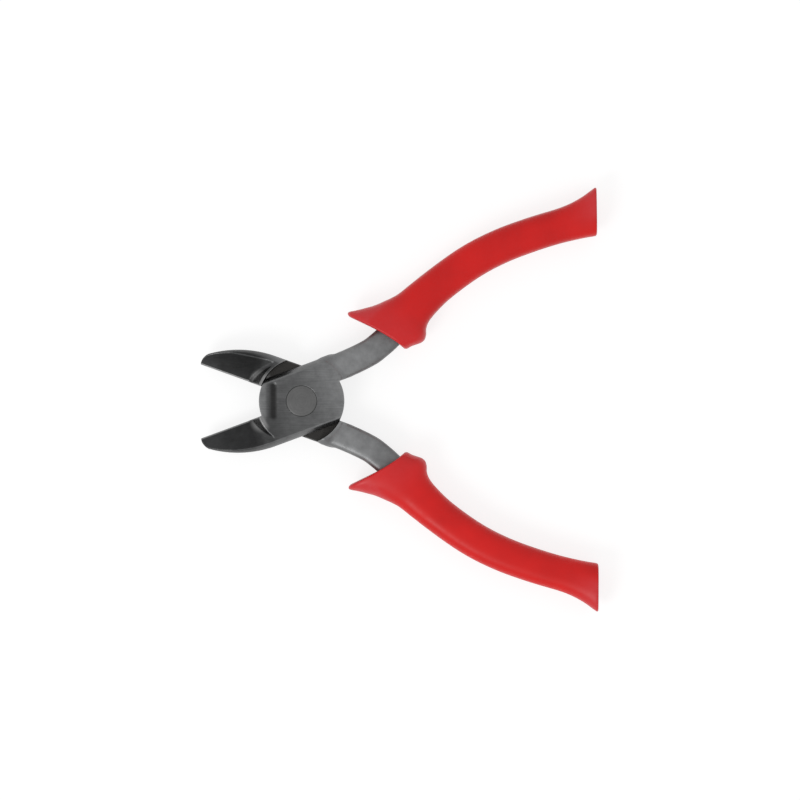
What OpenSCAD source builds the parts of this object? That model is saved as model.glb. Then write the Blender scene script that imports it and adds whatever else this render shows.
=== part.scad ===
// Diagonal cutting pliers: two forged steel levers cross in a round lap joint on one rivet, and
// each handle wears a thick dipped sleeve with a pointed guard in front and a flared tail.
// The frame has its origin on the rivet's axis, in the plane of the head's underside. The jaws point
// along -X, the handles along +X, and the rivet stands along +Z.

/* [Pose] */
// Angle between the cutting edges as the tool lies, 0 when it is shut
open_angle = 40; // [0:1:70]

/* [Head] */
// Thickness of the head between its two ground faces
head_t = 10.5; // [9:0.5:12]
// Width of the head over both levers, shut
head_w = 23.5; // [22:0.5:25]
// Radius of the round lap that each lever carries
lap_r = 15; // [14:0.5:16.5]
// Width of the ground rim outside the lap
land_w = 1; // [0.6:0.1:1.6]
// Width of the slope from the ground rim down to the mid height
runout_w = 3.2; // [2:0.2:4]
// Radius of the convex flanks of head and jaws, across their height
flank_r = 10; // [8:0.5:11]

/* [Jaws] */
// Distance from the rivet's axis to the tip of the jaws
jaw_len = 38; // [36:0.5:44]
// Distance from the rivet's axis to where the jaws start to narrow
nose_start = 14; // [12:1:18]
// Width of one jaw at its tip, before the corner is rounded
tip_w = 3.4; // [2.6:0.2:5]
// Thickness of the jaws at their tip
tip_t = 5.6; // [4:0.2:8]
// Radius of the rounded outer corner of the tip
tip_r = 1.8; // [1:0.2:2]
// Height of the cutting edge below the middle of the head
edge_drop = 1.1; // [0:0.1:2]
// Width of the flat on which the two cutting edges meet
edge_land = 0.2; // [0.1:0.05:0.5]
// Slope of the face-side bevel where it leaves the cutting edge, in degrees
face_bevel = 26; // [20:1:35]
// Slope of the underside bevel where it leaves the cutting edge, in degrees
under_bevel = 31; // [25:1:40]
// Radius of the grinding wheel that hollows both bevels
wheel_r = 45; // [35:1:80]

/* [Rivet] */
// Radius of the rivet's shank
rivet_r = 3.6; // [2.5:0.1:4.4]
// Radius of the rivet's countersunk heads
rivet_head_r = 5.4; // [4.8:0.1:7]
// Depth of the countersinks
rivet_sink = 2.1; // [1.5:0.1:3]
// Height by which the domed rivet heads stand proud
rivet_dome = 0.4; // [0.2:0.1:0.8]

/* [Handles] */
// Distance from the rivet's axis to the end of the handles, shut
handle_len = 122.5; // [110:0.5:150]
// Greatest distance of a handle's centre line from the tool's centre line, shut
handle_rise = 27; // [24:0.2:30]
// Width of the bare shank behind the head
shank_w = 9.6; // [8.4:0.2:10.4]
// Thickness of the bare shank
shank_t = 8.6; // [7:0.2:8.8]
// Width of the hidden tang at its end
tang_w = 8.4; // [7:0.2:9.6]
// Thickness of the hidden tang at its end
tang_t = 7.8; // [6:0.2:9]

/* [Sleeves] */
// Wall of the sleeve over the tang
sleeve_wall = 1.75; // [0.8:0.05:2]
// Distance from the rivet's axis to the middle of the sleeve's mouth, shut
sleeve_start = 35; // [33:0.5:40]
// Solid length at the tail of the sleeve, behind the tang
sleeve_plug = 6; // [4:0.5:10]
// Height of the pointed guard above the outer side of the sleeve
guard_out = 8; // [5:0.2:10]
// Height of the lip above the inner side of the sleeve
lip_in = 3.1; // [1.5:0.1:4]
// Swelling of the guard above and below the sleeve
guard_swell = 1.7; // [0.5:0.1:3]
// Height of the tail's flare on the outer side
tail_out = 4; // [1:0.2:5]
// Height of the tail's flare on the inner side
tail_in = 0.6; // [0:0.1:2]
// Swelling of the tail above and below the sleeve
tail_swell = 0.7; // [0:0.1:2]
// How far the middle of the sleeve's mouth lies back from its two sides
mouth_hollow = 2; // [0:0.1:3]
// Radius of the rounded rims of the sleeve's two ends
rim_r = 0.8; // [0.4:0.1:1.1]

/* [Clearances] */
// Gap between the two laps, and around the rim of each
lap_gap = 0.1; // [0.05:0.01:0.15]
// Gap from the tool's centre line to each cutting edge, shut
edge_gap = 0.03; // [0.02:0.01:0.1]
// Gap from the tool's centre line to each shank behind the joint, shut
crotch_gap = 2; // [1:0.1:2.4]
// Radial clearance between the rivet and its bores
rivet_fit = 0.05; // [0.02:0.01:0.1]
// Clearance between the tang and its sleeve
sleeve_fit = 0.1; // [0.05:0.01:0.2]

/* [Hidden] */
$fn = 96;

// Colours
lever_steel = [0.40, 0.40, 0.41];
rivet_steel = [0.52, 0.52, 0.53];
sleeve_red = [0.78, 0.17, 0.15];

// Head
head_half = head_w / 2;
face_z = head_t / 2;
edge_z = -edge_drop;
rim_in_r = lap_r + land_w;
rim_out_r = rim_in_r + runout_w;
runout_slope = runout_w / (face_z + edge_drop);

// Jaw's outline: an arc that starts along the head's side and ends at the tip's width
nose_run = jaw_len - nose_start;
nose_fall = head_half - tip_w;
nose_r = (pow(nose_run, 2) + pow(nose_fall, 2)) / (2 * nose_fall);
nose_y = nose_r - head_half;

// Tip's rounded corner, which pokes a little out of both sides, and the line from the outline's
// centre through the corner's centre
tip_poke_share = 0.9;
tip_x = tip_poke_share * tip_r - jaw_len;
tip_reach = nose_r - tip_poke_share * tip_r;
tip_y = nose_y - sqrt(pow(tip_reach, 2) - pow(tip_x + nose_start, 2));
tip_away = [(tip_x + nose_start) / tip_reach, (tip_y - nose_y) / tip_reach];

// Rivet: the part of the dome's height that is a straight rim, and the radius of the dome
rivet_rim_share = 0.25;
rivet_cap = rivet_dome * (1 - rivet_rim_share);
rivet_sphere_r = (pow(rivet_head_r, 2) + pow(rivet_cap, 2)) / (2 * rivet_cap);
sink_slope = (rivet_head_r - rivet_r) / rivet_sink;

// Bar of the handle: it starts inside the head, and its tang ends inside the sleeve
bar_start_share = 0.73;
bar_start = bar_start_share * lap_r;
tang_end = handle_len - sleeve_plug;

// Rims of the sleeve's ends, which leave part of the wall square
rim_share = 0.6;
rim = min(rim_r, rim_share * sleeve_wall);

// How the mouth and the tail of a sleeve lean along the handle, per unit outwards
mouth_lean_share = -0.33;
tail_lean_share = 0.26;

// Centre line of a handle, shut: shares of handle_len along, and of handle_rise across
path_shares = [
    [0.00, 0.235], [0.09, 0.245], [0.165, 0.255], [0.232, 0.288], [0.268, 0.338], [0.298, 0.392],
    [0.332, 0.471], [0.366, 0.556], [0.424, 0.687], [0.482, 0.796], [0.565, 0.908], [0.63, 0.967],
    [0.70, 0.997], [0.77, 0.999], [0.84, 0.985], [0.92, 0.952], [1.00, 0.918], [1.04, 0.901],
];

// Form of a sleeve at stations along it: share of its length, then the shares there of the guard's
// height, lip's height, guard's swelling, tail's flares, mouth's lean and tail's lean
form_shares = [
    [0.000, [0.84, -0.10, 1.00, 0.00, 1.00, 0.00]],
    [0.012, [0.96, 0.00, 1.00, 0.00, 0.96, 0.00]],
    [0.024, [0.97, 0.13, 1.00, 0.00, 0.91, 0.00]],
    [0.040, [0.86, 0.42, 0.98, 0.00, 0.84, 0.00]],
    [0.058, [0.71, 0.74, 0.94, 0.00, 0.76, 0.00]],
    [0.076, [0.57, 0.86, 0.85, 0.00, 0.68, 0.00]],
    [0.095, [0.44, 0.68, 0.70, 0.00, 0.59, 0.00]],
    [0.115, [0.32, 0.34, 0.50, 0.00, 0.49, 0.00]],
    [0.135, [0.22, 0.12, 0.30, 0.00, 0.39, 0.00]],
    [0.160, [0.13, 0.02, 0.13, 0.00, 0.28, 0.00]],
    [0.205, [0.07, 0.00, 0.03, 0.00, 0.14, 0.00]],
    [0.260, [0.02, 0.00, 0.00, 0.00, 0.04, 0.00]],
    [0.320, [0.00, 0.00, 0.00, 0.00, 0.00, 0.00]],
    [0.800, [0.00, 0.00, 0.00, 0.00, 0.00, 0.00]],
    [0.860, [0.00, 0.00, 0.00, 0.05, 0.00, 0.15]],
    [0.910, [0.00, 0.00, 0.00, 0.22, 0.00, 0.40]],
    [0.950, [0.00, 0.00, 0.00, 0.49, 0.00, 0.68]],
    [0.980, [0.00, 0.00, 0.00, 0.80, 0.00, 0.90]],
    [1.000, [0.00, 0.00, 0.00, 1.00, 0.00, 1.00]],
];

// Places of a sleeve's rings, as shares of its length, closer where its form changes fast
ring_shares = concat(
    [for (j = [0 : 13]) 0.010 * j + 0.003],
    [for (j = [0 : 5]) 0.150 + 0.022 * j],
    [for (j = [0 : 8]) 0.290 + 0.056 * j],
    [for (j = [0 : 9]) 0.790 + 0.023 * j]
);

// Fineness of the lofted forms, and how square their sections are, where 2 is an ellipse
ring_points = 32;
bar_rings = 28;
bar_square = 4.2;
sleeve_square = 2.7;

// Smooth curve through a table of [place, value] rows, where a value is a number or a list
function row_at(t, x, i = 0) = (i >= len(t) - 2 || x < t[i + 1][0]) ? i : row_at(t, x, i + 1);
function row_slope(t, i) =
    let (a = max(i - 1, 0), b = min(i + 1, len(t) - 1)) (t[b][1] - t[a][1]) / (t[b][0] - t[a][0]);
function smooth(t, x) =
    let (
        i = row_at(t, x),
        step = t[i + 1][0] - t[i][0],
        q = (x - t[i][0]) / step,
        q2 = q * q,
        q3 = q2 * q
    )
    t[i][1] * (2 * q3 - 3 * q2 + 1) + t[i + 1][1] * (3 * q2 - 2 * q3)
    + row_slope(t, i) * step * (q3 - 2 * q2 + q) + row_slope(t, i + 1) * step * (q3 - q2);

// Centre line of a shut handle, its direction, and a point at u outwards and v upwards from it
function path_y(x) = handle_rise * smooth(path_shares, x / handle_len);
function path_angle(x) =
    let (d = handle_len / 200) atan2(path_y(x + d) - path_y(x - d), 2 * d);
function on_path(x, u, v) =
    let (a = path_angle(x)) [x - sin(a) * u, path_y(x) + cos(a) * u, v];

// Half sizes of the bar along the handle: even up to the head's rim, then tapering to the tang's end
function taper(x) = max(0, x - rim_out_r) / (tang_end - rim_out_r);
function bar_half(x) = (shank_w + (tang_w - shank_w) * taper(x)) / 2;
function bar_high(x) = (shank_t + (tang_t - shank_t) * taper(x)) / 2;

// Reaches to the guard's side and to the lip's over which a sleeve's mouth is hollow
mouth_out = bar_half(sleeve_start) + sleeve_wall + guard_out * form_shares[0][1][0];
mouth_in = bar_half(sleeve_start) + sleeve_wall + lip_in;

// Signed power, which turns a circle's cosine or sine into that of a rounded rectangle
function squared(c, n) = sign(c) * pow(abs(c), 2 / n);

// One ring of a loft: out and in are its reaches to either side, lean tilts it along the path, and
// hollow is how far its middle lies back along the path
function ring(x, out, in, high, n, lean = 0, hollow = 0) = [
    for (k = [0 : ring_points - 1])
        let (
            a = 360 * (k + 0.5) / ring_points,
            c = squared(cos(a), n),
            u = c > 0 ? out * c : in * c,
            back = hollow * max(0, 1 - pow(u / (u > 0 ? mouth_out : mouth_in), 2))
        )
        on_path(x + lean * u + back, u, high * squared(sin(a), n))
];

// Closed solid through a list of rings, whose outer skin runs from the tail towards the head
module loft(rings) {
    n = ring_points;
    last = len(rings) - 1;
    polyhedron(
        points = [for (r = rings) each r],
        faces = concat(
            [[for (k = [n - 1 : -1 : 0]) k]],
            [for (j = [0 : last - 1], k = [0 : n - 1]) let (m = (k + 1) % n)
                [j * n + k, (j + 1) * n + m, (j + 1) * n + k]],
            [for (j = [0 : last - 1], k = [0 : n - 1]) let (m = (k + 1) % n)
                [j * n + k, j * n + m, (j + 1) * n + m]],
            [[for (k = [0 : n - 1]) last * n + k]]
        ),
        convexity = 6
    );
}

// Places of the bar's rings, which the sleeve's cavity shares
bar_places = [for (j = [0 : bar_rings - 1]) bar_start + (tang_end - bar_start) * j / (bar_rings - 1)];

// Shank and tang of one lever, in one piece
module bar() {
    last = bar_rings - 1;
    loft([
        for (j = [last : -1 : 0])
            let (x = bar_places[j]) ring(x, bar_half(x), bar_half(x), bar_high(x), bar_square)
    ]);
}

// Outline of the head across its height, with convex flanks
module head_section() {
    intersection() {
        square([head_w, head_t], center = true);
        union() {
            translate([head_half - flank_r, 0]) circle(flank_r);
            translate([flank_r - head_half, 0]) circle(flank_r);
        }
    }
}

// The same convex flank on the jaw's curved side, from the centre of its outline outwards
module nose_section() {
    intersection() {
        translate([0, -face_z]) square([nose_r, head_t]);
        union() {
            translate([nose_r - flank_r, 0]) circle(flank_r);
            translate([0, -head_t]) square([nose_r - flank_r, 2 * head_t]);
        }
    }
}

// Head between the start of the jaw's outline and the handle's side of the rim
module head_blank() {
    translate([-nose_start, 0, 0])
        rotate([90, 0, 90])
            linear_extrude(nose_start + rim_out_r) head_section();
}

// Jaw before grinding: its curved side is turned about the outline's centre, and it thins forwards
module jaw_blank() {
    intersection() {
        translate([-nose_start, nose_y, 0])
            rotate([0, 0, 180])
                rotate_extrude(angle = 90) nose_section();
        rotate([90, 0, 0])
            linear_extrude(head_w)
                polygon([
                    [0, face_z], [-rim_in_r, face_z], [-jaw_len, tip_t / 2],
                    [-jaw_len, -tip_t / 2], [-rim_in_r, -face_z], [0, -face_z],
                ]);
    }
}

// What the rounded corner takes off the jaw's tip
module tip_corner() {
    linear_extrude(2 * head_t, center = true)
        difference() {
            polygon([
                [tip_x, tip_y],
                [-jaw_len - head_w, tip_y],
                [-jaw_len - head_w, -head_w],
                [tip_x, tip_y] + head_w * tip_away,
            ]);
            translate([tip_x, tip_y]) circle(tip_r);
        }
}

// Round core whose sloping rim carries the head down to the jaws and the shanks
module rim_drum() {
    rotate_extrude()
        polygon([
            [0, -head_t],
            [rim_out_r - runout_slope * (head_t - edge_drop), -head_t],
            [rim_out_r, edge_z],
            [rim_out_r - runout_slope * (head_t + edge_drop), head_t],
            [0, head_t],
        ]);
}

// One hollow bevel, as the grinding wheel passes along the cutting edge
module wheel_pass(up, bevel) {
    translate([-jaw_len - head_w, wheel_r * sin(bevel) - edge_gap,
        edge_z + up * (edge_land / 2 + wheel_r * cos(bevel))])
        rotate([0, 90, 0]) cylinder(r = wheel_r, h = jaw_len + head_w);
}

// What is ground off outside the rim: both bevels on the jaw, and all of the head's end on the shank
module ground_off() {
    difference() {
        union() {
            wheel_pass(1, face_bevel);
            wheel_pass(-1, under_bevel);
            translate([0, -head_w, -head_t]) cube([2 * rim_out_r, 2 * head_w, 2 * head_t]);
        }
        rim_drum();
    }
}

// Room outside the lap that belongs to the other lever, shut
module other_side() {
    linear_extrude(3 * head_t, center = true)
        difference() {
            union() {
                translate([-2 * jaw_len, -edge_gap]) square(2 * jaw_len);
                translate([0, crotch_gap - 2 * jaw_len]) square(2 * jaw_len);
            }
            circle(lap_r);
        }
}

// Half of the joint that the other lever's lap fills: below the middle for a lap of 1, above for -1
module lap_room(lap) {
    low = lap > 0 ? -2 * head_t : -lap_gap / 2;
    translate([0, 0, low]) cylinder(r = lap_r + lap_gap, h = 2 * head_t + lap_gap / 2);
}

// Bore for the rivet, countersunk on the lap's own face
module rivet_seat(lap) {
    bore_r = rivet_r + rivet_fit;
    cylinder(r = bore_r, h = 2 * head_t, center = true);
    rotate([lap > 0 ? 0 : 180, 0, 0])
        translate([0, 0, face_z - rivet_sink])
            cylinder(r1 = bore_r, r2 = bore_r + sink_slope * 2 * rivet_sink, h = 2 * rivet_sink);
}

// One whole lever, shut, about the middle of the head: its jaw at -Y, and its handle at +Y
module lever(lap) {
    difference() {
        union() {
            difference() {
                union() {
                    head_blank();
                    jaw_blank();
                }
                tip_corner();
                ground_off();
            }
            bar();
        }
        other_side();
        lap_room(lap);
        rivet_seat(lap);
    }
}

// Half sizes of a sleeve at a share s of its length, from the bar's own sizes
sleeve_end = handle_len - tail_lean_share * (bar_half(handle_len) + sleeve_wall + tail_out);
function sleeve_x(s) = sleeve_start + (sleeve_end - sleeve_start) * s;
function form(s) = smooth(form_shares, s);
function sleeve_ring(s, trim = 0) =
    let (x = sleeve_x(s), f = form(s))
    ring(
        x,
        bar_half(x) + sleeve_wall + guard_out * f[0] + tail_out * f[3] - trim,
        bar_half(x) + sleeve_wall + lip_in * f[1] + tail_in * f[3] - trim,
        bar_high(x) + sleeve_wall + guard_swell * f[2] + tail_swell * f[3] - trim,
        sleeve_square,
        mouth_lean_share * f[4] + tail_lean_share * f[5],
        mouth_hollow * f[4]
    );

// Ring of the cavity, which follows the bar with the sleeve's clearance
function cavity_ring(x, lean = 0, hollow = 0) =
    ring(x, bar_half(x) + sleeve_fit, bar_half(x) + sleeve_fit, bar_high(x) + sleeve_fit,
        bar_square, lean, hollow);

// Sleeve, shut, as one skin: from the tail forwards outside, then from the mouth back inside
module sleeve() {
    first = sleeve_start + mouth_hollow - mouth_lean_share * shank_w;
    loft(concat(
        [sleeve_ring(1, rim)],
        [for (j = [len(ring_shares) - 1 : -1 : 0]) sleeve_ring(ring_shares[j])],
        [sleeve_ring(0, rim), cavity_ring(sleeve_start, mouth_lean_share, mouth_hollow)],
        [for (x = bar_places) if (x > first) cavity_ring(x)],
        [cavity_ring(tang_end + sleeve_fit)]
    ));
}

// Places a shut half of the tool as it lies: the upper half turned one way, the lower its mirror image
module upper_half() {
    translate([0, 0, face_z]) rotate([0, 0, open_angle / 2]) children();
}
module lower_half() {
    mirror([0, 1, 0]) upper_half() children();
}

module upper_lever() {
    color(lever_steel) upper_half() lever(1);
}

module lower_lever() {
    color(lever_steel) lower_half() lever(-1);
}

// Rivet: a shank with two countersunk, slightly domed heads
module rivet() {
    color(rivet_steel)
        translate([0, 0, face_z])
            intersection() {
                union() {
                    cylinder(r = rivet_r, h = head_t, center = true);
                    for (turn = [0, 180])
                        rotate([turn, 0, 0]) {
                            translate([0, 0, face_z - rivet_sink])
                                cylinder(r1 = rivet_r, r2 = rivet_head_r, h = rivet_sink);
                            translate([0, 0, face_z]) cylinder(r = rivet_head_r, h = 2 * rivet_dome);
                        }
                }
                translate([0, 0, face_z + rivet_dome - rivet_sphere_r]) sphere(rivet_sphere_r);
                translate([0, 0, rivet_sphere_r - face_z - rivet_dome]) sphere(rivet_sphere_r);
            }
}

module upper_sleeve() {
    color(sleeve_red) upper_half() sleeve();
}

module lower_sleeve() {
    color(sleeve_red) lower_half() sleeve();
}

upper_lever();
lower_lever();
rivet();
upper_sleeve();
lower_sleeve();
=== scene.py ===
import math

import bpy
import numpy as np
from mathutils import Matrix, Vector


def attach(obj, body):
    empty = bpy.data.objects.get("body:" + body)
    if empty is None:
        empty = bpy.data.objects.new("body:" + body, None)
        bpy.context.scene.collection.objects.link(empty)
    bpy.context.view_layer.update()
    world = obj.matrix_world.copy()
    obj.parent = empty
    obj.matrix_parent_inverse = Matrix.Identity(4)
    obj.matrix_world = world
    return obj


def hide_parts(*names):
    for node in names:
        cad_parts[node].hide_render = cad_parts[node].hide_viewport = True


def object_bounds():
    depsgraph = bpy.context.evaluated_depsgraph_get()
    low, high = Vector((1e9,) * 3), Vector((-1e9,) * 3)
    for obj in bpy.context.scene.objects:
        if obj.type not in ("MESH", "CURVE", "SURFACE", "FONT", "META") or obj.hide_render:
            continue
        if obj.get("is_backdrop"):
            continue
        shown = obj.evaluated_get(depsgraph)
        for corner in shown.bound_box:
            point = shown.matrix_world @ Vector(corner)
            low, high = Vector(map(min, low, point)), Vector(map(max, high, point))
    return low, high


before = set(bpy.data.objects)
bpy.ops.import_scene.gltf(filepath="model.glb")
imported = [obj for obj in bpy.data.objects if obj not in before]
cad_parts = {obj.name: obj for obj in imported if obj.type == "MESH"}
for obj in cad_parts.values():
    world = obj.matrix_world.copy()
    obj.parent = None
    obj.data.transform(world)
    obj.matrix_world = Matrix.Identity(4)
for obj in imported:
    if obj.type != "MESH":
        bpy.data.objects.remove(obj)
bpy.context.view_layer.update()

# The dressed model of a pair of diagonal cutting pliers. All sizes below are in millimetres and
# degrees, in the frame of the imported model: rivet along +Z, jaws to -X, handles to +X.
MM = 0.001

# Pose at rest
OPEN_ANGLE = 40

# Head
HEAD_T = 10.5
HEAD_W = 23.5
LAP_R = 15
LAND_W = 1
RUNOUT_W = 3.2
FLANK_R = 10

# Shallow recess across the outer face of each lap disc, in the jaws' throat: its place along the tool
# at rest, its length between the middles of its round ends, its half width, its floor's and its depth
RECESS_X = -9.9
RECESS_LEN = 10.6
RECESS_R = 1.8
RECESS_FLOOR_R = RECESS_R / 5
RECESS_DEPTH = 0.3

# Jaws
JAW_LEN = 38
NOSE_START = 14
TIP_W = 3.4
TIP_T = 5.6
TIP_R = 1.8
EDGE_DROP = 1.1
EDGE_LAND = 0.2
FACE_BEVEL = 26
UNDER_BEVEL = 31
WHEEL_R = 45

# Rivet
RIVET_R = 3.6
RIVET_HEAD_R = 5.4
RIVET_SINK = 2.1
RIVET_DOME = 0.4
RIVET_CAP_SHARE = 0.75
RIVET_RIM_R = 0.15

# Handles
HANDLE_LEN = 122.5
HANDLE_RISE = 27
SHANK_W, SHANK_T = 9.6, 8.6
TANG_W, TANG_T = 8.4, 7.8
BAR_START_SHARE = 0.73

# Sleeves
SLEEVE_WALL = 1.75
SLEEVE_START = 35
SLEEVE_PLUG = 6
GUARD_OUT = 8
LIP_IN = 3.1
GUARD_SWELL = 1.7
TAIL_OUT = 4
TAIL_IN = 0.6
TAIL_SWELL = 0.7
MOUTH_HOLLOW = 2
RIM_R = 0.8
MOUTH_RIM_R = RIM_R / 2

# Clearances
LAP_GAP = 0.1
EDGE_GAP = 0.03
CROTCH_GAP = 2
RIVET_FIT = 0.05
SLEEVE_FIT = 0.1

# Rounding that forging, grinding and handling leave on the steel
GROUND_EDGE_R = 0.35
LAP_EDGE_R = 0.22
SEAT_EDGE_R = 0.15
BEVEL_FILLET_R = 1.1
SHANK_FILLET_R = 1.4
TANG_END_R = 1.0

# Width of the bright band along each cutting edge, and how far inside and outside the surface is tested
# for edges and dips
KEEN_W = 0.8
EDGE_REACH = 0.45

# Values over which a lever's finishes set in: distances from the flank, the bar and the lap's floor, the
# length over which the flank's finish ends before the rim at the handles, and how sharp edges and dips are
ON_FLANK = (-0.45, -0.1)
OFF_BAR = (0.1, 0.5)
OFF_FLOOR = (0.1, 0.4)
FLANK_FADE = 4
EDGE_SHARP = (0.05, 0.6)
DIP_SHARP = (0.1, 0.8)

# Fineness of the levers: the grid's step over head and jaws, which is two or three times as long further
# out, the room that the grid leaves round the lever in plan, the step along a handle's centre line, how
# many points are taken at a time, and in how many parts the grid is worked out
FINE = 0.225
ROOM = 1
PATH_STEP = 0.4
POINTS_AT_ONCE = 20000
GRID_PARTS = 8

# How far a point is moved to find the slope of the distance there, which is also the most that it may
# then move to reach the surface, and the least square of that slope
PROBE = 0.02
LEAST_SLOPE = 0.2

# Fineness of the sleeves and the rivet. The end of a tail has rings at these shares of the way in from
# its rim, which is this much shorter than half the tang's width, and a dome's rings lie between these
# shares of the rivet's head.
SLEEVE_SIDES = 96
SLEEVE_RINGS = 170
RIM_RINGS = 6
CAVITY_RINGS = 60
TAIL_END_SHARES = (1.0, 0.75, 0.5, 0.25)
TAIL_CORE = 1
RIVET_SIDES = 128
RIVET_RIM_RINGS = 5
DOME_RINGS = 18
DOME_SHARES = (0.93, 0.05)

# Derived sizes
HEAD_HALF = HEAD_W / 2
FACE_Z = HEAD_T / 2
EDGE_Z = -EDGE_DROP
RIM_IN_R = LAP_R + LAND_W
RIM_OUT_R = RIM_IN_R + RUNOUT_W
RUNOUT_SLOPE = RUNOUT_W / (FACE_Z + EDGE_DROP)
NOSE_FALL = HEAD_HALF - TIP_W
NOSE_R = ((JAW_LEN - NOSE_START) ** 2 + NOSE_FALL ** 2) / (2 * NOSE_FALL)
NOSE_Y = NOSE_R - HEAD_HALF
WEDGE_SLOPE = (FACE_Z - TIP_T / 2) / (JAW_LEN - RIM_IN_R)
SINK_SLOPE = (RIVET_HEAD_R - RIVET_R) / RIVET_SINK
BAR_START = BAR_START_SHARE * LAP_R
TANG_END = HANDLE_LEN - SLEEVE_PLUG

# Centre line of a shut handle: shares of HANDLE_LEN along, and of HANDLE_RISE across
PATH_SHARES = np.array([
    (0.00, 0.235), (0.09, 0.245), (0.165, 0.255), (0.232, 0.288), (0.268, 0.338), (0.298, 0.392),
    (0.332, 0.471), (0.366, 0.556), (0.424, 0.687), (0.482, 0.796), (0.565, 0.908), (0.63, 0.967),
    (0.70, 0.997), (0.77, 0.999), (0.84, 0.985), (0.92, 0.952), (1.00, 0.918), (1.04, 0.901),
])

# Form of a sleeve along its length: share of the length, then shares of the guard's height, the
# lip's height, the guard's swelling, the tail's flares, the mouth's lean and the tail's lean
FORM_SHARES = np.array([
    (0.000, 0.84, -0.10, 1.00, 0.00, 1.00, 0.00),
    (0.012, 0.96, 0.00, 1.00, 0.00, 0.96, 0.00),
    (0.024, 0.97, 0.13, 1.00, 0.00, 0.91, 0.00),
    (0.040, 0.86, 0.42, 0.98, 0.00, 0.84, 0.00),
    (0.058, 0.71, 0.74, 0.94, 0.00, 0.76, 0.00),
    (0.076, 0.57, 0.86, 0.85, 0.00, 0.68, 0.00),
    (0.095, 0.44, 0.68, 0.70, 0.00, 0.59, 0.00),
    (0.115, 0.32, 0.34, 0.50, 0.00, 0.49, 0.00),
    (0.135, 0.22, 0.12, 0.30, 0.00, 0.39, 0.00),
    (0.160, 0.13, 0.02, 0.13, 0.00, 0.28, 0.00),
    (0.205, 0.07, 0.00, 0.03, 0.00, 0.14, 0.00),
    (0.260, 0.02, 0.00, 0.00, 0.00, 0.04, 0.00),
    (0.320, 0.00, 0.00, 0.00, 0.00, 0.00, 0.00),
    (0.800, 0.00, 0.00, 0.00, 0.00, 0.00, 0.00),
    (0.860, 0.00, 0.00, 0.00, 0.05, 0.00, 0.15),
    (0.910, 0.00, 0.00, 0.00, 0.22, 0.00, 0.40),
    (0.950, 0.00, 0.00, 0.00, 0.49, 0.00, 0.68),
    (0.980, 0.00, 0.00, 0.00, 0.80, 0.00, 0.90),
    (1.000, 0.00, 0.00, 0.00, 1.00, 0.00, 1.00),
])
MOUTH_LEAN_SHARE = -0.33
TAIL_LEAN_SHARE = 0.26
BAR_SQUARE = 4.2
SLEEVE_SQUARE = 2.7

# Red of the sleeves in their darker and lighter places, and the paler red of a painted sheen. Guards, lips
# and tails carry the full painted sheen this far outside the plain sleeve's width, and the thick middle of
# a guard to this share.
RED_LOW = (0.58, 0.0050, 0.0042, 1)
RED_HIGH = (0.70, 0.0075, 0.0060, 1)
RED_PAINTED_SHEEN = (0.63, 0.0360, 0.0420, 1)
PAINTED_SHEEN_OUT = 3.5
PAINTED_SHEEN_MIDDLE = 0.45

# Tone of the curved flanks along a lever, lighter than the rest as a painted highlight: place on a shut
# half and linear grey
FLANK_HIGHLIGHT_TONES = ((-34, 0.045), (-22, 0.052), (-15, 0.120), (-6, 0.160), (6, 0.165), (19, 0.200))

# Tone of the rest along a lever. The jaws are blackened.
LEVER_TONES = (
    (-34, 0.036), (-30, 0.027), (-20, 0.023), (-18, 0.032), (-16.4, 0.058), (-14, 0.054), (-8, 0.084),
    (-4, 0.098), (2, 0.102), (9, 0.140), (19, 0.204), (28, 0.185), (36, 0.150),
)

# Place on a shut half, at the inner end of the cutting edge, of a lighter patch painted on as light in the
# throat's shaded corner, the distances from it over which that fades out, and its tone
CORNER_LIGHT_AT = (-16.0, -2.0)
CORNER_LIGHT_REACH = (1.2, 4.4)
CORNER_LIGHT_TONE = 0.20

# Painted light and shade on the jaws, lighter on the upper half and darker on the lower: their tone is
# multiplied by these shares from the tips in to the first place, and fades to the head's own tone by the
# second
JAW_LIGHT_SHADE_SHARES = {"upper": 1.26, "lower": 0.81}
JAW_FADE = (-18, -13)

# Tone of the lap disc's rim in the jaws' throat, by place along the tool. It sets in between the last two
# places, and fades towards both jaws over these distances from its middle and at the disc's edge over
# this length.
THROAT_TONES = ((-15, 0.170), (-12.8, 0.150), (-11.4, 0.090))
THROAT_MIDDLE = 0.9
THROAT_FADE = (5.4, 8.8)
THROAT_EDGE = 0.3

# Tones of the recess behind that rim, of the painted shade on the lap's floor, worn edges, the darkening
# in dips and the keen edge, how much of the last two shows, and how blue the steel is
RECESS_TONE = 0.026
LAP_SHADE_TONE = 0.035
WORN_TONE = 0.34
DIP_DARK_TONE = 0.020
DIP_DARK_SHARE = 0.40
KEEN_TONE = 0.30
KEEN_SHARE = 0.55
STEEL_WARMTH = -0.012

# Tones of the rivet's heads, in their darker and lighter places and at their rim, and the rim's width
RIVET_LOW = 0.096
RIVET_HIGH = 0.136
RIVET_RIM_TONE = 0.03
RIVET_RIM_W = 0.35

# Framing of the photograph: the rivet's pixel, the side of the square frame, the scale, and how far
# the tool is turned in it, in degrees
RIVET_PX = (301.7, 400.5)
FRAME_PX = 800
MM_PER_PX = 0.352
PHOTO_TURN = 0.26


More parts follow.
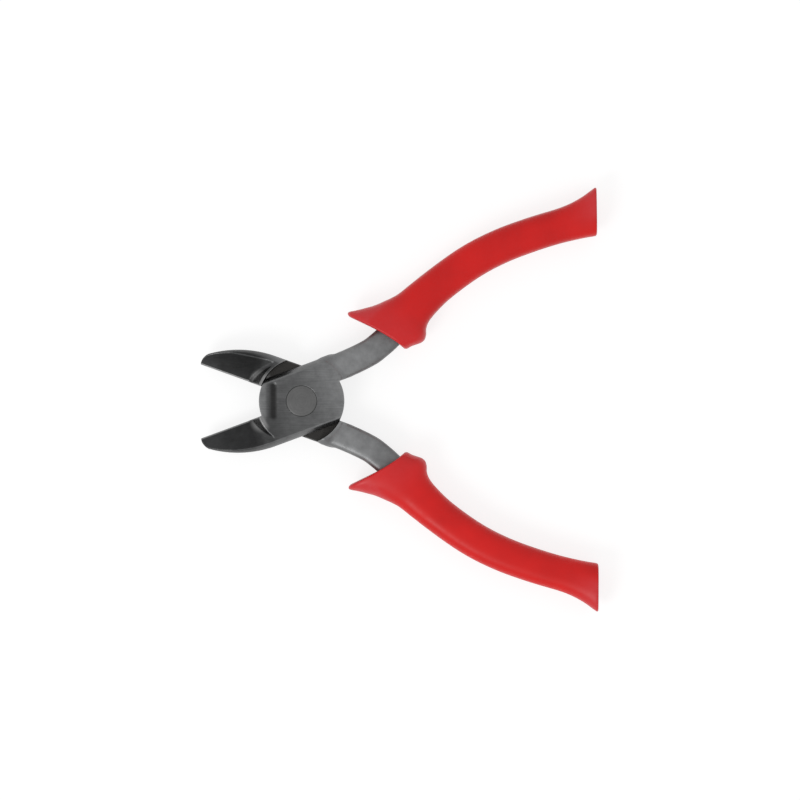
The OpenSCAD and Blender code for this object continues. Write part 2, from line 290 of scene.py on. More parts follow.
def smooth(table, place):
    """Smooth curve through the rows of a table, whose first column is the place."""
    places, values = table[:, 0], table[:, 1:]
    last = len(places) - 1
    rows = np.arange(last + 1)
    before, after = np.maximum(rows - 1, 0), np.minimum(rows + 1, last)
    slopes = (values[after] - values[before]) / (places[after] - places[before])[:, None]
    i = np.clip(np.searchsorted(places, place, side="right") - 1, 0, last - 1)
    step = (places[i + 1] - places[i])[:, None]
    q = (place - places[i])[:, None] / step
    return (
        values[i] * (2 * q**3 - 3 * q**2 + 1)
        + values[i + 1] * (3 * q**2 - 2 * q**3)
        + slopes[i] * step * (q**3 - 2 * q**2 + q)
        + slopes[i + 1] * step * (q**3 - q**2)
    )


def path_y(x):
    return HANDLE_RISE * smooth(PATH_SHARES, np.asarray(x, float) / HANDLE_LEN)[:, 0]


def path_angle(x):
    d = HANDLE_LEN / 200
    return np.arctan2(path_y(x + d) - path_y(x - d), 2 * d)


def taper(x):
    return np.maximum(0, x - RIM_OUT_R) / (TANG_END - RIM_OUT_R)


def bar_half(x):
    return (SHANK_W + (TANG_W - SHANK_W) * taper(x)) / 2


def bar_high(x):
    return (SHANK_T + (TANG_T - SHANK_T) * taper(x)) / 2


# Reaches to the guard's side and to the lip's over which a sleeve's mouth is hollow
MOUTH_OUT = bar_half(SLEEVE_START) + SLEEVE_WALL + GUARD_OUT * FORM_SHARES[0, 1]
MOUTH_IN = bar_half(SLEEVE_START) + SLEEVE_WALL + LIP_IN


def smoothstep(low, high, x):
    t = np.clip((x - low) / (high - low), 0, 1)
    return t * t * (3 - 2 * t)


# Distances to the lever's surfaces are negative inside. both() keeps what lies inside two forms and
# rounds the edge where they meet, and either() joins two forms with a fillet.
def both(a, b, radius):
    return np.minimum(-radius, np.maximum(a, b)) + np.hypot(
        np.maximum(a + radius, 0), np.maximum(b + radius, 0)
    )


def either(a, b, radius):
    return -both(-a, -b, radius)


def along_path(x, y):
    """Place along a handle's centre line, and distance outwards from it, of points in plan."""
    places = np.arange(BAR_START, TANG_END + 1, PATH_STEP)
    heights, angles = path_y(places), path_angle(places)
    place, out = np.empty(len(x)), np.empty(len(x))
    for start in range(0, len(x), POINTS_AT_ONCE):
        part = slice(start, start + POINTS_AT_ONCE)
        apart = (x[part, None] - places) ** 2 + (y[part, None] - heights) ** 2
        i = apart.argmin(1)
        dx, dy = x[part] - places[i], y[part] - heights[i]
        c, s = np.cos(angles[i]), np.sin(angles[i])
        ahead = dx * c + dy * s
        place[part] = places[i] + ahead * c
        out[part] = dy * c - dx * s
        # Past either end, the distance ahead counts as well
        place[part] = np.where(i == 0, places[0] + ahead, place[part])
        place[part] = np.where(i == len(places) - 1, places[-1] + ahead, place[part])
    return place, out


def bar_distance(place, out, z):
    """Distance to the bar of a handle, whose section is a rounded rectangle."""
    half, high = bar_half(place), bar_high(place)
    a, b = np.abs(out) / half, np.abs(z) / high
    n = BAR_SQUARE
    reach = np.maximum((a**n + b**n) ** (1 / n), 1e-3)
    steep = np.hypot(a ** (n - 1) / half, b ** (n - 1) / high) * reach ** (1 - n)
    side = (reach - 1) / np.maximum(steep, 1 / np.maximum(half, high))
    end = np.maximum(place - TANG_END, BAR_START - place)
    return both(side, end, TANG_END_R)


def jaw_outline(x, y):
    """Distance outwards from the curved outer side of head and jaw, with the jaw's rounded tip."""
    straight = -y - HEAD_HALF
    curved = np.hypot(x + NOSE_START, y - NOSE_Y) - NOSE_R
    return both(np.where(x < -NOSE_START, curved, straight), -x - JAW_LEN, TIP_R)


def flank(outline, z):
    """Convex side that bulges to its outline at mid height."""
    return np.hypot(np.maximum(outline + FLANK_R, 0), z) - FLANK_R


def bevels(y, z):
    """Hollow bevels on both sides of the cutting edge, as grinding wheels leave them."""
    kept = []
    for up, slope in ((1, math.radians(FACE_BEVEL)), (-1, math.radians(UNDER_BEVEL))):
        wheel_y = WHEEL_R * math.sin(slope) - EDGE_GAP
        wheel_z = EDGE_Z + up * (EDGE_LAND / 2 + WHEEL_R * math.cos(slope))
        kept.append(WHEEL_R - np.hypot(y - wheel_y, z - wheel_z))
    return np.maximum(*kept)


def recess(x, y):
    """Share of the recess's depth at points in plan of a shut half."""
    angle = math.radians(OPEN_ANGLE / 2)
    c, s = math.cos(angle), math.sin(angle)
    beyond_end = np.maximum(np.abs(s * x + c * y) - RECESS_LEN / 2, 0)
    return smoothstep(RECESS_R, RECESS_FLOOR_R, np.hypot(c * x - s * y - RECESS_X, beyond_end))


def lever_parts(p, place, out, lap):
    """Distances to one lever and to the surfaces that its finish depends on, shut, about mid height."""
    x, y, z = p
    r = np.hypot(x, y)
    far_side = np.where(x > -NOSE_START, flank(y - HEAD_HALF, z), -1)
    side = np.maximum(flank(jaw_outline(x, y), z), far_side)
    wedge = np.maximum(
        np.abs(z) - FACE_Z,
        (np.abs(z) - FACE_Z + WEDGE_SLOPE * (-x - RIM_IN_R)) / math.hypot(1, WEDGE_SLOPE),
    )
    blank = both(side, wedge, GROUND_EDGE_R)
    drum = (r - RIM_OUT_R + RUNOUT_SLOPE * np.abs(z - EDGE_Z)) / math.hypot(1, RUNOUT_SLOPE)
    ground = either(drum, np.maximum(bevels(y, z), x), BEVEL_FILLET_R)
    head = both(blank, ground, GROUND_EDGE_R)
    bar = bar_distance(place, out, z)
    solid = either(head, bar, SHANK_FILLET_R)
    disc = r - LAP_R
    own_jaw = np.maximum(x, y + EDGE_GAP)
    own_handle = np.maximum(-x, CROTCH_GAP - y)
    solid = both(solid, np.minimum(disc, np.minimum(own_jaw, own_handle)), LAP_EDGE_R)
    lap_floor = lap * z - LAP_GAP / 2
    solid = both(solid, -np.maximum(disc - LAP_GAP, lap_floor), LAP_EDGE_R)
    bore = r - RIVET_R - RIVET_FIT
    sink = bore - SINK_SLOPE * (lap * z - FACE_Z + RIVET_SINK)
    solid = both(solid, -np.minimum(bore, sink / math.hypot(1, SINK_SLOPE)), SEAT_EDGE_R)
    solid = np.maximum(solid, lap * z - FACE_Z + RECESS_DEPTH * recess(x, y))
    return solid, side, bar, lap_floor


def spaced(*stretches):
    """Places along one side of the grid: each stretch is (start, end, step)."""
    rows = [np.arange(a, b, s) for a, b, s in stretches]
    return np.concatenate(rows)


def surface_net(field, sides):
    """Quads through a grid of distances: one point in each cell that the surface crosses."""
    inside = field < 0
    nx, ny, nz = (n - 1 for n in field.shape)
    corners = [(i, j, k) for i in (0, 1) for j in (0, 1) for k in (0, 1)]
    count = sum(inside[i:i + nx, j:j + ny, k:k + nz].astype(np.uint8) for i, j, k in corners)
    cells = np.argwhere((count > 0) & (count < len(corners)))
    number = np.full((nx, ny, nz), -1, np.int32)
    number[tuple(cells.T)] = np.arange(len(cells))
    low = np.stack([sides[a][cells[:, a]] for a in range(3)], 1)
    high = np.stack([sides[a][cells[:, a] + 1] for a in range(3)], 1)
    values = {c: field[cells[:, 0] + c[0], cells[:, 1] + c[1], cells[:, 2] + c[2]] for c in corners}
    total, met = np.zeros((len(cells), 3)), np.zeros(len(cells))
    for c in corners:
        for axis in range(3):
            if c[axis]:
                continue
            d = tuple(1 if a == axis else c[a] for a in range(3))
            crosses = (values[c] < 0) != (values[d] < 0)
            gap = np.where(crosses, values[c] - values[d], 1)
            share = np.array(c)[None, :] + np.eye(3)[axis] * (values[c] / gap)[:, None]
            total += np.where(crosses[:, None], low + (high - low) * share, 0)
            met += crosses
    points = total / met[:, None]
    quads = []
    for axis in range(3):
        u, v = (axis + 1) % 3, (axis + 2) % 3
        first = np.take(inside, np.arange(field.shape[axis] - 1), axis)
        second = np.take(inside, np.arange(1, field.shape[axis]), axis)
        for way in (True, False):
            edges = np.argwhere((first != second) & (first == way))
            around = []
            for du, dv in ((-1, -1), (0, -1), (0, 0), (-1, 0)):
                cell = edges.copy()
                cell[:, u] += du
                cell[:, v] += dv
                around.append(number[tuple(cell.T)])
            around = np.stack(around, 1)
            quads.append(around if way else around[:, ::-1])
    return points, np.concatenate(quads)


def lever_points(lap):
    """Points and faces of one shut lever about mid height."""
    sides = [
        spaced((-JAW_LEN - ROOM, SLEEVE_START + ROOM, FINE),
               (SLEEVE_START + ROOM, TANG_END + 2 * ROOM, 3 * FINE)),
        spaced((-HEAD_HALF - ROOM, HEAD_HALF + ROOM, FINE),
               (HEAD_HALF + ROOM, HANDLE_RISE + SHANK_W, 2 * FINE)),
        np.arange(-FACE_Z - 2.5 * FINE, FACE_Z + 3 * FINE, FINE),
    ]
    plan_x, plan_y = (g.ravel() for g in np.meshgrid(sides[0], sides[1], indexing="ij"))
    place, out = along_path(plan_x, plan_y)
    near_bar = (np.abs(out) < SHANK_W / 2 + 2 * ROOM) & (place > BAR_START - 3 * ROOM)
    near_head = (plan_x < RIM_OUT_R + 2 * ROOM) & (np.abs(plan_y) < HEAD_HALF + 2 * ROOM)
    columns = np.flatnonzero(near_bar | near_head)
    height = sides[2]
    field = np.ones((len(plan_x), len(height)), np.float32)
    for chosen in np.array_split(columns, GRID_PARTS):
        x, y, a, b = (np.repeat(row[chosen], len(height)) for row in (plan_x, plan_y, place, out))
        z = np.tile(height, len(chosen))
        field[chosen] = lever_parts((x, y, z), a, b, lap)[0].reshape(len(chosen), -1)
    return surface_net(field.reshape([len(s) for s in sides]), sides)


def settle(points, lap):
    """Moves points onto the lever's true surface, and returns them with their normals."""

    def distance(at):
        return lever_parts(at.T, *along_path(at[:, 0], at[:, 1]), lap)[0]

    value = distance(points)
    step = np.eye(3) * PROBE
    grade = np.stack([(distance(points + d) - value) / PROBE for d in step], 1)
    steep = np.maximum((grade**2).sum(1), LEAST_SLOPE)[:, None]
    move = np.clip(-value[:, None] * grade / steep, -PROBE, PROBE)
    return points + move, grade / np.sqrt(steep)


def finishes(points, normals, lap):
    """What a lever's material needs at each point: its place along the lever in millimetres, and
    shares between 0 and 1 of worn edge, dip, ground face, lap's floor for painted shade, flank for a
    painted highlight, painted light patch beside the throat, recess and keen edge."""

    def distances(at):
        return lever_parts(at.T, *along_path(at[:, 0], at[:, 1]), lap)

    _, side, bar, lap_floor = distances(points)
    x, y, z = points.T
    r = np.hypot(x, y)
    behind = distances(points - EDGE_REACH * normals)[0]
    ahead = distances(points + EDGE_REACH * normals)[0]
    flank_highlight_share = smoothstep(*ON_FLANK, side)
    on_lap = smoothstep(*OFF_FLOOR[::-1], np.abs(lap_floor)) * smoothstep(LAP_R + LAP_GAP, LAP_R, r)
    beside_edge = np.hypot(y + EDGE_GAP, z - EDGE_Z)
    # Painted light patch in the throat's shaded corner
    corner_light_share = smoothstep(*CORNER_LIGHT_REACH[::-1], np.hypot(x - CORNER_LIGHT_AT[0], y - CORNER_LIGHT_AT[1]))
    return {
        "along": x,
        "edge": smoothstep(*EDGE_SHARP, 1 + behind / EDGE_REACH),
        "dip": smoothstep(*DIP_SHARP, 1 - ahead / EDGE_REACH),
        "ground": smoothstep(*ON_FLANK[::-1], side) * smoothstep(*OFF_BAR, bar),
        "lap": on_lap,
        "flank": flank_highlight_share * smoothstep(RIM_IN_R, RIM_IN_R - FLANK_FADE, x),
        "bare": corner_light_share * np.maximum(on_lap, smoothstep(LAP_R - LAND_W, LAP_R, r)),
        "recess": recess(x, y) * (lap * z > FACE_Z - 2 * RECESS_DEPTH),
        "keen": smoothstep(KEEN_W, KEEN_W / 2, beside_edge) * smoothstep(-LAP_R, -RIM_IN_R, x),
    }


def placed(points, lap):
    """Points of a shut half about mid height, turned, mirrored and lifted to where the half lies."""
    angle = math.radians(OPEN_ANGLE / 2)
    c, s = math.cos(angle), math.sin(angle)
    x, y, z = points[..., 0], points[..., 1], points[..., 2]
    return np.stack([c * x - s * y, lap * (s * x + c * y), z + FACE_Z], -1)


def give(made, name, values):
    """Stores one number for each point of an object, for its material."""
    layer = made.data.attributes.new(name, "FLOAT", "POINT")
    layer.data.foreach_set("value", np.asarray(values, np.float32))


def mesh_object(name, points, faces):
    """New smooth object from points in millimetres and faces that all have as many corners."""
    mesh = bpy.data.meshes.new(name)
    faces = np.asarray(faces, np.int32)
    mesh.vertices.add(len(points))
    mesh.vertices.foreach_set("co", (np.asarray(points) * MM).astype(np.float32).ravel())
    mesh.loops.add(faces.size)
    mesh.loops.foreach_set("vertex_index", faces.ravel())
    mesh.polygons.add(len(faces))
    mesh.polygons.foreach_set("loop_start", np.arange(0, faces.size, faces.shape[1], dtype=np.int32))
    mesh.update(calc_edges=True)
    mesh.shade_smooth()
    made = bpy.data.objects.new(name, mesh)
    bpy.context.scene.collection.objects.link(made)
    return made


def lever(name, lap):
    points, quads = lever_points(lap)
    points, normals = settle(points, lap)
    if lap < 0:
        quads = quads[:, ::-1]
    made = mesh_object(name, placed(points, lap), quads)
    for share, values in finishes(points, normals, lap).items():
        give(made, share, values)
    return made


def rings_mesh(name, rings, lap):
    """Closed skin through rings of points, capped at both ends by the ring's own middle."""
    count, sides = rings.shape[:2]
    points = np.concatenate([rings.reshape(-1, 3), rings[0].mean(0)[None], rings[-1].mean(0)[None]])
    k = np.arange(sides)
    m = (k + 1) % sides
    quads = [np.stack([j * sides + k, j * sides + m, (j + 1) * sides + m, (j + 1) * sides + k], 1)
             for j in range(count - 1)]
    faces = np.concatenate(quads)
    tris = np.concatenate([faces[:, [0, 1, 2]], faces[:, [0, 2, 3]]])
    first, last = np.full(sides, count * sides), np.full(sides, count * sides + 1)
    base = (count - 1) * sides
    caps = [np.stack([first, m, k], 1), np.stack([last, base + k, base + m], 1)]
    faces = np.concatenate([tris, *caps])
    if lap < 0:
        faces = faces[:, ::-1]
    return mesh_object(name, placed(points, lap), faces), points


def ring(x, out, reach_in, high, square, lean, hollow):
    """Ring of a sleeve across the handle, about mid height. A leaning ring keeps the handle's height and
    direction at x all round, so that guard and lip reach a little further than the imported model's, as in
    the photograph."""
    a = 2 * math.pi * (np.arange(SLEEVE_SIDES) + 0.5) / SLEEVE_SIDES
    c = np.sign(np.cos(a)) * np.abs(np.cos(a)) ** (2 / square)
    s = np.sign(np.sin(a)) * np.abs(np.sin(a)) ** (2 / square)
    u = np.where(c > 0, out * c, reach_in * c)
    back = hollow * np.maximum(0, 1 - (u / np.where(u > 0, MOUTH_OUT, MOUTH_IN)) ** 2)
    place = x + lean * u + back
    turn = path_angle(np.array([x]))[0]
    height = path_y(np.array([x]))[0]
    return np.stack([place - math.sin(turn) * u, height + math.cos(turn) * u, high * s], 1)


def sleeve(name, lap):
    end = HANDLE_LEN - TAIL_LEAN_SHARE * (bar_half(HANDLE_LEN) + SLEEVE_WALL + TAIL_OUT)
    length = end - SLEEVE_START

    def outer(share, trim=0.0):
        x = SLEEVE_START + length * share
        f = smooth(FORM_SHARES, np.array([share]))[0]
        half, high = bar_half(x) + SLEEVE_WALL - trim, bar_high(x) + SLEEVE_WALL - trim
        return ring(
            x,
            half + GUARD_OUT * f[0] + TAIL_OUT * f[3],
            half + LIP_IN * f[1] + TAIL_IN * f[3],
            high + GUARD_SWELL * f[2] + TAIL_SWELL * f[3],
            SLEEVE_SQUARE,
            MOUTH_LEAN_SHARE * f[4] + TAIL_LEAN_SHARE * f[5],
            MOUTH_HOLLOW * f[4],
        )

    def inner(x, grow=0.0, lean=0.0, hollow=0.0):
        half, high = bar_half(x) + SLEEVE_FIT + grow, bar_high(x) + SLEEVE_FIT + grow
        return ring(x, half, half, high, BAR_SQUARE, lean, hollow)

    turns = np.linspace(0, math.pi / 2, RIM_RINGS)
    shares = np.linspace(1 - RIM_R / length, RIM_R / length, SLEEVE_RINGS)
    # The tail's end from its middle outwards, its rim, the outside, the mouth's rims and the cavity
    rings = [outer(1, RIM_R + (bar_half(end) - TAIL_CORE) * share) for share in TAIL_END_SHARES]
    rings += [outer(1 - RIM_R * (1 - math.cos(t)) / length, RIM_R * (1 - math.sin(t))) for t in turns]
    rings += [outer(share) for share in shares[1:-1]]
    rings += [outer(RIM_R * (1 - math.sin(t)) / length, RIM_R * (1 - math.cos(t))) for t in turns]
    rings += [
        inner(SLEEVE_START + MOUTH_RIM_R * (1 - math.cos(t)), MOUTH_RIM_R * (1 - math.sin(t)),
              MOUTH_LEAN_SHARE, MOUTH_HOLLOW)
        for t in turns
    ]
    first = SLEEVE_START + MOUTH_HOLLOW - MOUTH_LEAN_SHARE * SHANK_W
    rings += [inner(x) for x in np.linspace(first, TANG_END + SLEEVE_FIT, CAVITY_RINGS)]
    made, points = rings_mesh(name, np.array(rings[::-1]), lap)
    place, across = along_path(points[:, 0], points[:, 1])
    beyond = np.abs(across) - bar_half(place) - SLEEVE_WALL
    form = smooth(FORM_SHARES, np.clip((place - SLEEVE_START) / length, 0, 1))
    swelling, flare = form[:, 2], form[:, 3]
    # Painted sheen: paler red where guards, lips and tails reach out and swell
    painted_sheen = np.maximum(smoothstep(0, PAINTED_SHEEN_OUT, beyond), PAINTED_SHEEN_MIDDLE * swelling)
    give(made, "painted_sheen", np.maximum(painted_sheen, flare * smoothstep(-PAINTED_SHEEN_OUT, PAINTED_SHEEN_OUT / 2, across)))
    return made


def lathe(name, profile, sides):
    """Solid turned about the rivet's axis from (radius, height) rows, from the bottom to the top."""
    profile = np.array(profile)
    a = 2 * math.pi * np.arange(sides) / sides
    rings = np.stack([
        np.stack([r * np.cos(a), r * np.sin(a), np.full(sides, z)], 1) for r, z in profile
    ])
    return rings_mesh(name, rings, 1)[0]


def rivet(name):
    """Shank with two countersunk heads, whose domes have a softened rim."""
    top = FACE_Z + RIVET_DOME
    cap = RIVET_DOME * RIVET_CAP_SHARE
    dome_r = (RIVET_HEAD_R**2 + cap**2) / (2 * cap)
    rim_z = top - cap - RIVET_RIM_R
    upper = [(RIVET_R, 0), (RIVET_R, FACE_Z - RIVET_SINK), (RIVET_HEAD_R, FACE_Z)]
    for turn in np.linspace(0, math.pi / 2, RIVET_RIM_RINGS):
        upper.append((
            RIVET_HEAD_R - RIVET_RIM_R * (1 - math.cos(turn)),
            rim_z + RIVET_RIM_R * math.sin(turn),
        ))
    for share in np.linspace(*DOME_SHARES, DOME_RINGS):
        radius = RIVET_HEAD_R * share
        upper.append((radius, top - dome_r + math.sqrt(dome_r**2 - radius**2)))
    lower = [(r, -z) for r, z in reversed(upper[1:])]
    return lathe(name, lower + upper, RIVET_SIDES)


# Materials. Their coordinates are in millimetres, turned with the piece.
def material(name):
    made = bpy.data.materials.new(name)
    made.use_nodes = True
    tree = made.node_tree
    return made, tree, tree.nodes["Principled BSDF"]


def add(tree, kind, inputs, **settings):
    """New node of a tree. A value in inputs is a constant, or another node's output to link."""
    made = tree.nodes.new("ShaderNode" + kind)
    for name, value in settings.items():
        setattr(made, name, value)
    for name, value in inputs.items():
        if isinstance(value, bpy.types.NodeSocket):
            tree.links.new(value, made.inputs[name])
        else:
            made.inputs[name].default_value = value
    return made


def share_of(tree, name):
    return add(tree, "Attribute", {}, attribute_name=name).outputs["Fac"]


def calculate(tree, operation, a, b):
    return add(tree, "Math", {0: a, 1: b}, operation=operation).outputs[0]


def spread(tree, value, low, high, to_low, to_high):
    """Value moved from one range to another, and kept within it."""
    return add(tree, "MapRange", {
        "Value": value, "From Min": low, "From Max": high, "To Min": to_low, "To Max": to_high,
    }).outputs["Result"]


def blend_colours(tree, share, a, b, kind="MIX"):
    made = add(tree, "Mix", {0: share}, data_type="RGBA", blend_type=kind)
    for socket, value in ((made.inputs[6], a), (made.inputs[7], b)):
        if isinstance(value, bpy.types.NodeSocket):
            tree.links.new(value, socket)
        else:
            socket.default_value = value
    return made.outputs[2]


def grey(value, warmth=0.0):
    """Linear colour near grey. Warmth above 0 turns it to brown, and below 0 to blue."""
    return (value * (1 + warmth), value, value * (1 - warmth), 1)


def toned(tree, value, stops):
    """Grey that follows a value through (value, tone) stops."""
    low, high = stops[0][0], stops[-1][0]
    ramp = add(tree, "ValToRGB", {"Fac": spread(tree, value, low, high, 0, 1)})
    while len(ramp.color_ramp.elements) < len(stops):
        ramp.color_ramp.elements.new(1)
    for element, (at, tone) in zip(ramp.color_ramp.elements, stops):
        element.position = (at - low) / (high - low)
        element.color = grey(tone, STEEL_WARMTH)
    return ramp.outputs["Color"]


def from_axis(tree, parts):
    """Distance from the rivet's axis, from the parts of a place."""
    squares = [calculate(tree, "MULTIPLY", part, part) for part in parts[:2]]
    return calculate(tree, "SQRT", calculate(tree, "ADD", *squares), 0)


def millimetres(tree, turn=0.0, stretch=(1, 1, 1)):
    place = add(tree, "TexCoord", {}).outputs["Object"]
    scale = [share / MM for share in stretch]
    return add(tree, "Mapping", {"Vector": place, "Rotation": (0, 0, -turn), "Scale": scale}).outputs[0]


def noise(tree, place, scale, detail=2.0, roughness=0.5):
    return add(tree, "TexNoise", {
        "Vector": place, "Scale": scale, "Detail": detail, "Roughness": roughness,
    }).outputs["Fac"]


def vary(tree, pattern, low, high):
    """Value between low and high, by a noise pattern, most of which lies between 0.3 and 0.7."""
    return spread(tree, pattern, 0.3, 0.7, low, high)


def times(tree, tone, share):
    return blend_colours(tree, 1.0, tone, share, "MULTIPLY")


def bump(tree, height, distance, strength, **below):
    """Normal of a fine relief, its distance in millimetres, laid on another normal where one is given."""
    return add(tree, "Bump", {
        "Height": height, "Distance": distance * MM, "Strength": strength, **below,
    }).outputs["Normal"]


def lever_steel(name, turn, jaw_light_shade):
    """Blackened jaws, a ground head, satin shanks, bright wear where edges rub, and painted light and
    shade.
    """
    made, tree, shader = material(name)
    flat = millimetres(tree, turn)
    mottle = noise(tree, flat, 0.33, 4, 0.6)
    grain = noise(tree, flat, 2.6, 3, 0.6)
    marks = noise(tree, millimetres(tree, turn, (0.10, 5.5, 2.5)), 1.0, 3, 0.7)
    along, ground = share_of(tree, "along"), share_of(tree, "ground")

    # Tones along the lever, on the rim in the throat, in the recess, and a painted highlight on the flanks
    tone = toned(tree, along, LEVER_TONES)
    parts = add(tree, "SeparateXYZ", {"Vector": millimetres(tree)}).outputs
    beside = calculate(tree, "ABSOLUTE", calculate(tree, "SUBTRACT", parts[1], THROAT_MIDDLE), 0)
    in_throat = calculate(
        tree, "MULTIPLY", spread(tree, beside, *THROAT_FADE, 1, 0),
        spread(tree, parts[0], THROAT_TONES[-1][0], THROAT_TONES[-2][0], 0, 1),
    )
    on_disc = spread(tree, from_axis(tree, parts), LAP_R, LAP_R + THROAT_EDGE, 1, 0)
    in_throat = calculate(tree, "MULTIPLY", in_throat, on_disc)
    tone = blend_colours(tree, in_throat, tone, toned(tree, parts[0], THROAT_TONES))
    tone = blend_colours(tree, share_of(tree, "recess"), tone, grey(RECESS_TONE))
    # Painted highlight along the flanks
    tone = blend_colours(tree, share_of(tree, "flank"), tone, toned(tree, along, FLANK_HIGHLIGHT_TONES))
    # Painted light and shade: lighter jaws on the upper half, darker on the lower
    tone = times(tree, tone, spread(tree, along, *JAW_FADE, jaw_light_shade, 1))

    # Clouds over it all, and grinding marks along the ground faces
    tone = times(tree, tone, vary(tree, mottle, 0.84, 1.14))
    tone = blend_colours(tree, ground, tone, times(tree, tone, vary(tree, marks, 0.84, 1.16)))

    # Painted shade on the lap's floor, painted light in the throat's corner, worn edges, dark dips, keen
    # edge
    tone = blend_colours(tree, share_of(tree, "lap"), tone, grey(LAP_SHADE_TONE, 0.04))
    # Painted light in the throat's shaded corner
    tone = blend_colours(tree, share_of(tree, "bare"), tone, grey(CORNER_LIGHT_TONE))
    worn = calculate(tree, "MULTIPLY", share_of(tree, "edge"), spread(tree, grain, 0.42, 0.62, 0.12, 0.5))
    tone = blend_colours(tree, worn, tone, grey(WORN_TONE))
    # Dips and creases are darkened
    dip_darkening = calculate(tree, "MULTIPLY", share_of(tree, "dip"), DIP_DARK_SHARE)
    tone = blend_colours(tree, dip_darkening, tone, grey(DIP_DARK_TONE, 0.1))
    keen = calculate(tree, "MULTIPLY", share_of(tree, "keen"), KEEN_SHARE)
    tone = blend_colours(tree, keen, tone, grey(KEEN_TONE))
    tree.links.new(tone, shader.inputs["Base Color"])
    shader.inputs["Metallic"].default_value = 1

    forged_rough = vary(tree, grain, 0.40, 0.54)
    ground_rough = vary(tree, marks, 0.27, 0.41)
    rough = add(tree, "Mix", {0: ground, 2: forged_rough, 3: ground_rough}).outputs[0]
    tree.links.new(rough, shader.inputs["Roughness"])

    pits = bump(tree, grain, 0.012, spread(tree, ground, 0, 1, 0.9, 0.1))
    lines = bump(tree, marks, 0.006, spread(tree, ground, 0, 1, 0.1, 0.8), Normal=pits)
    tree.links.new(lines, shader.inputs["Normal"])
    return made


def rivet_steel(name):
    """Turned steel, with rings round the rivet's axis."""
    made, tree, shader = material(name)
    flat = millimetres(tree)
    radius = from_axis(tree, add(tree, "SeparateXYZ", {"Vector": flat}).outputs)
    rings = noise(tree, add(tree, "CombineXYZ", {"X": radius}).outputs[0], 4.5, 3, 0.7)
    mottle = noise(tree, flat, 0.5, 3, 0.6)
    tone = blend_colours(tree, mottle, grey(RIVET_LOW), grey(RIVET_HIGH))
    tone = times(tree, tone, vary(tree, rings, 0.86, 1.12))
    at_rim = spread(tree, radius, RIVET_HEAD_R - RIVET_RIM_W, RIVET_HEAD_R, 0, 0.6)
    tone = blend_colours(tree, at_rim, tone, grey(RIVET_RIM_TONE))
    tree.links.new(tone, shader.inputs["Base Color"])
    shader.inputs["Metallic"].default_value = 1
    tree.links.new(vary(tree, rings, 0.26, 0.40), shader.inputs["Roughness"])
    tree.links.new(bump(tree, rings, 0.008, 0.7), shader.inputs["Normal"])
    return made


def sleeve_plastic(name):
    """Soft red plastic with a fine grain, an uneven sheen, and paler places painted on as sheen."""
    made, tree, shader = material(name)
    flat = millimetres(tree)
    cloud = noise(tree, flat, 0.06, 3, 0.5)
    peel = noise(tree, flat, 0.9, 2, 0.5)
    grain = noise(tree, flat, 5.0, 2, 0.6)
    tone = blend_colours(tree, spread(tree, cloud, 0.35, 0.65, 0, 1), RED_LOW, RED_HIGH)
    # Paler red painted on as sheen
    painted_sheen = calculate(tree, "MULTIPLY", share_of(tree, "painted_sheen"), vary(tree, peel, 0.7, 1.0))
    tone = blend_colours(tree, painted_sheen, tone, RED_PAINTED_SHEEN)
    tree.links.new(tone, shader.inputs["Base Color"])
    rough = calculate(tree, "ADD", vary(tree, cloud, 0.32, 0.44), vary(tree, peel, -0.03, 0.05))
    tree.links.new(rough, shader.inputs["Roughness"])
    shader.inputs["Specular IOR Level"].default_value = 0.28
    soft = bump(tree, peel, 0.02, 0.5)
    tree.links.new(bump(tree, grain, 0.006, 0.6, Normal=soft), shader.inputs["Normal"])
    return made


def dress(piece, node, body, look):
    piece.data.materials.append(look)
    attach(piece, body)
    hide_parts(node)


sleeve_look = sleeve_plastic("sleeve_look")
for half, lap in (("upper", 1), ("lower", -1)):
    body = half + "_half"
    look = lever_steel(half + "_lever_look", math.radians(lap * OPEN_ANGLE / 2), JAW_LIGHT_SHADE_SHARES[half])
    dress(lever(half + "_lever_forged", lap), half + "_lever", body, look)
    dress(sleeve(half + "_sleeve_skin", lap), half + "_sleeve", body, sleeve_look)
dress(rivet("rivet_turned"), "rivet", "upper_half", rivet_steel("rivet_look"))


# Stage: floor, camera and lights. The floor's own light keeps it white and its shadow faint. Places and
# sizes on the stage are in metres.
FLOOR_HALF = 3.0
FLOOR_WHITE = 0.9
FLOOR_GLOW = 1.16
FLOOR_GLOW_SHARE = 0.68
SKY_LIGHT = 0.66
KEY_PLACE = (-0.5, -0.6, 0.9)
KEY_SIZE = 0.5
KEY_POWER = 4
CAMERA_HEIGHT = 3.0


def seen(tree):
    """1 for what the camera sees, straight or by reflection, and 0 for light that falls on things."""
    path = add(tree, "LightPath", {}).outputs
    straight = calculate(tree, "MAXIMUM", path["Is Camera Ray"], path["Is Glossy Ray"])
    return calculate(tree, "MAXIMUM", straight, path["Is Transmission Ray"])


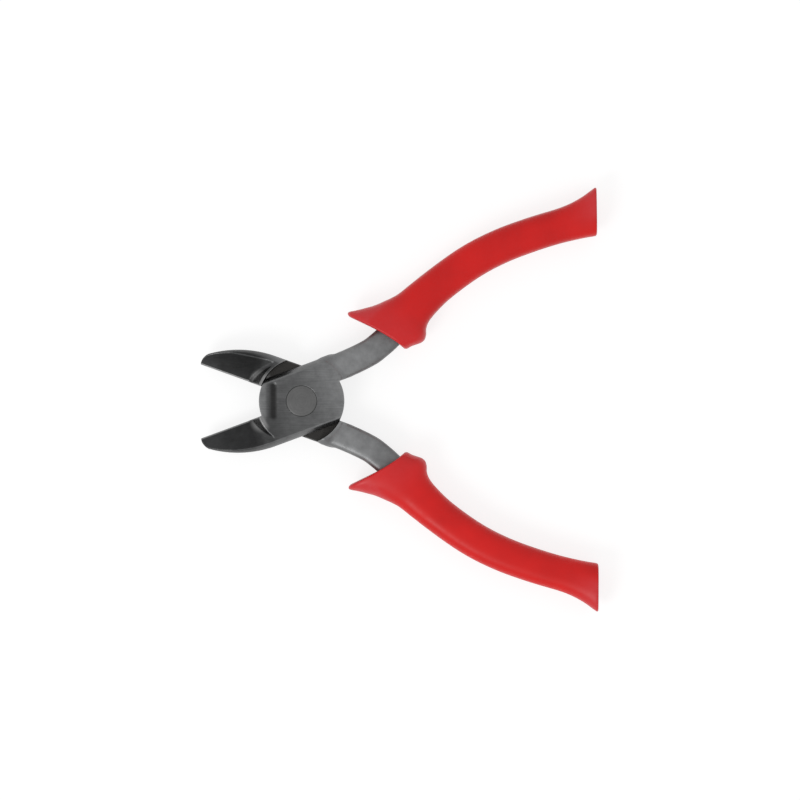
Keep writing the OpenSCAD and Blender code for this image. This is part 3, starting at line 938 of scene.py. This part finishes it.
def floor(name):
    """White floor that lends the camera some light of its own, so that the shadow stays faint."""
    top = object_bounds()[0].z
    corners = [(x * FLOOR_HALF, y * FLOOR_HALF, top) for x, y in ((-1, -1), (1, -1), (1, 1), (-1, 1))]
    mesh = bpy.data.meshes.new(name)
    mesh.from_pydata(corners, [], [(0, 1, 2, 3)])
    made = bpy.data.objects.new(name, mesh)
    bpy.context.scene.collection.objects.link(made)
    look, tree, shader = material(name + "_look")
    shader.inputs["Base Color"].default_value = grey(FLOOR_WHITE)
    shader.inputs["Roughness"].default_value = 1
    shader.inputs["Specular IOR Level"].default_value = 0
    glow = add(tree, "Emission", {"Color": (1, 1, 1, 1), "Strength": FLOOR_GLOW}).outputs[0]
    share = calculate(tree, "MULTIPLY", seen(tree), FLOOR_GLOW_SHARE)
    mixed = add(tree, "MixShader", {0: share, 1: shader.outputs[0], 2: glow}).outputs[0]
    tree.links.new(mixed, tree.nodes["Material Output"].inputs["Surface"])
    mesh.materials.append(look)
    made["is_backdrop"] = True


floor("floor")

camera_data = bpy.data.cameras.new("camera")
camera = bpy.data.objects.new("camera", camera_data)
bpy.context.scene.collection.objects.link(camera)
bpy.context.scene.camera = camera
centre_x = (FRAME_PX / 2 - RIVET_PX[0]) * MM_PER_PX * MM
centre_y = (RIVET_PX[1] - FRAME_PX / 2) * MM_PER_PX * MM
camera.location = (centre_x, centre_y, CAMERA_HEIGHT + FACE_Z * MM)
camera.rotation_euler = (0, 0, -math.radians(PHOTO_TURN))
camera_data.sensor_width = 36
camera_data.lens = camera_data.sensor_width * CAMERA_HEIGHT / (FRAME_PX * MM_PER_PX * MM)
camera_data.clip_start = 0.1
camera_data.clip_end = 20

world = bpy.data.worlds.new("world")
bpy.context.scene.world = world
world.use_nodes = True
sky = world.node_tree
strength = spread(sky, seen(sky), 0, 1, SKY_LIGHT, 1)
sky.links.new(strength, sky.nodes["Background"].inputs["Strength"])
sky.nodes["Background"].inputs["Color"].default_value = (1, 1, 1, 1)


def softbox(name, place, size, power):
    """Round lamp that faces the rivet."""
    lamp = bpy.data.lights.new(name, "AREA")
    lamp.shape = "DISK"
    lamp.size = size
    lamp.energy = power
    made = bpy.data.objects.new(name, lamp)
    bpy.context.scene.collection.objects.link(made)
    made.location = place
    aim = -made.location
    made.rotation_mode = "QUATERNION"
    made.rotation_quaternion = aim.to_track_quat("-Z", "Y")


softbox("key", KEY_PLACE, KEY_SIZE, KEY_POWER)

bpy.context.scene.view_settings.view_transform = "Standard"
